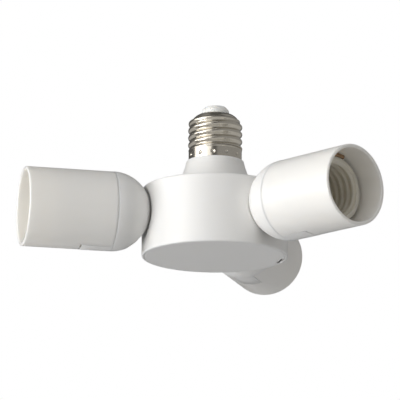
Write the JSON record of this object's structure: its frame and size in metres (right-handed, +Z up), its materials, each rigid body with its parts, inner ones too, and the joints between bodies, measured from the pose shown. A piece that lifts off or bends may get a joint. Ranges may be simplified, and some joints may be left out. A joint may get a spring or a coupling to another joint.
{
  "type": "lamp socket adapter",
  "caption": "White lamp socket adapter with a nickel-plated screw base and ball-ended lamp sockets that tilt around a round hub.",
  "frame": {"origin": "centre of the hub's flat underside", "axes": "+Z up along the hub's axis, out through the screw base; one head points along +Y"},
  "size_m": [0.1814, 0.1573, 0.0757],
  "materials": {
    "white_abs": "satin",
    "white_abs_arm": "satin",
    "nickel_plate": "polished",
    "white_insulator": "matte",
    "brass": "satin",
    "copper_strip": "satin",
    "zinc_steel": "satin",
    "live_cable": "satin",
    "neutral_cable": "satin",
    "splice_nylon": "satin"
  },
  "bodies": {
    "hub": {"hub_housing": "white_abs", "bottom_cover": "white_abs", "screw_shell": "nickel_plate", "cap_insulator": "white_insulator", "tip_contact": "brass", "tip_lead": "live_cable", "shell_lead": "neutral_cable", "live_splice": "splice_nylon", "neutral_splice": "splice_nylon", "pivot_arm_1": "white_abs_arm", "friction_washers_1": "zinc_steel", "lock_washer_1": "zinc_steel", "arm_nut_1": "zinc_steel", "hub_live_lead_1": "live_cable", "hub_neutral_lead_1": "neutral_cable", "pivot_arm_2": "white_abs_arm", "friction_washers_2": "zinc_steel", "lock_washer_2": "zinc_steel", "arm_nut_2": "zinc_steel", "hub_live_lead_2": "live_cable", "hub_neutral_lead_2": "neutral_cable", "pivot_arm_3": "white_abs_arm", "friction_washers_3": "zinc_steel", "lock_washer_3": "zinc_steel", "arm_nut_3": "zinc_steel", "hub_live_lead_3": "live_cable", "hub_neutral_lead_3": "neutral_cable"},
    "head_1": {"head_dome_1": "white_abs", "lamp_sleeve_1": "white_abs", "thread_insert_1": "white_insulator", "side_contact_1": "copper_strip", "centre_contact_1": "brass", "contact_rivets_1": "brass", "head_live_lead_1": "live_cable", "head_neutral_lead_1": "neutral_cable"},
    "head_2": {"head_dome_2": "white_abs", "lamp_sleeve_2": "white_abs", "thread_insert_2": "white_insulator", "side_contact_2": "copper_strip", "centre_contact_2": "brass", "contact_rivets_2": "brass", "head_live_lead_2": "live_cable", "head_neutral_lead_2": "neutral_cable"},
    "head_3": {"head_dome_3": "white_abs", "lamp_sleeve_3": "white_abs", "thread_insert_3": "white_insulator", "side_contact_3": "copper_strip", "centre_contact_3": "brass", "contact_rivets_3": "brass", "head_live_lead_3": "live_cable", "head_neutral_lead_3": "neutral_cable"}
  },
  "joints": [
    {"name": "head_1_tilt", "type": "hinge", "parent": "hub", "child": "head_1", "pos_m": [0, 0.0511, 0.0196], "axis": [-1, 0, 0], "range_deg": [-50, 50]},
    {"name": "head_2_tilt", "type": "hinge", "parent": "hub", "child": "head_2", "pos_m": [-0.04426, -0.02555, 0.0196], "axis": [0.5, -0.866, 0], "range_deg": [-50, 50]},
    {"name": "head_3_tilt", "type": "hinge", "parent": "hub", "child": "head_3", "pos_m": [0.04426, -0.02555, 0.0196], "axis": [0.5, 0.866, 0], "range_deg": [-50, 50]}
  ]
}
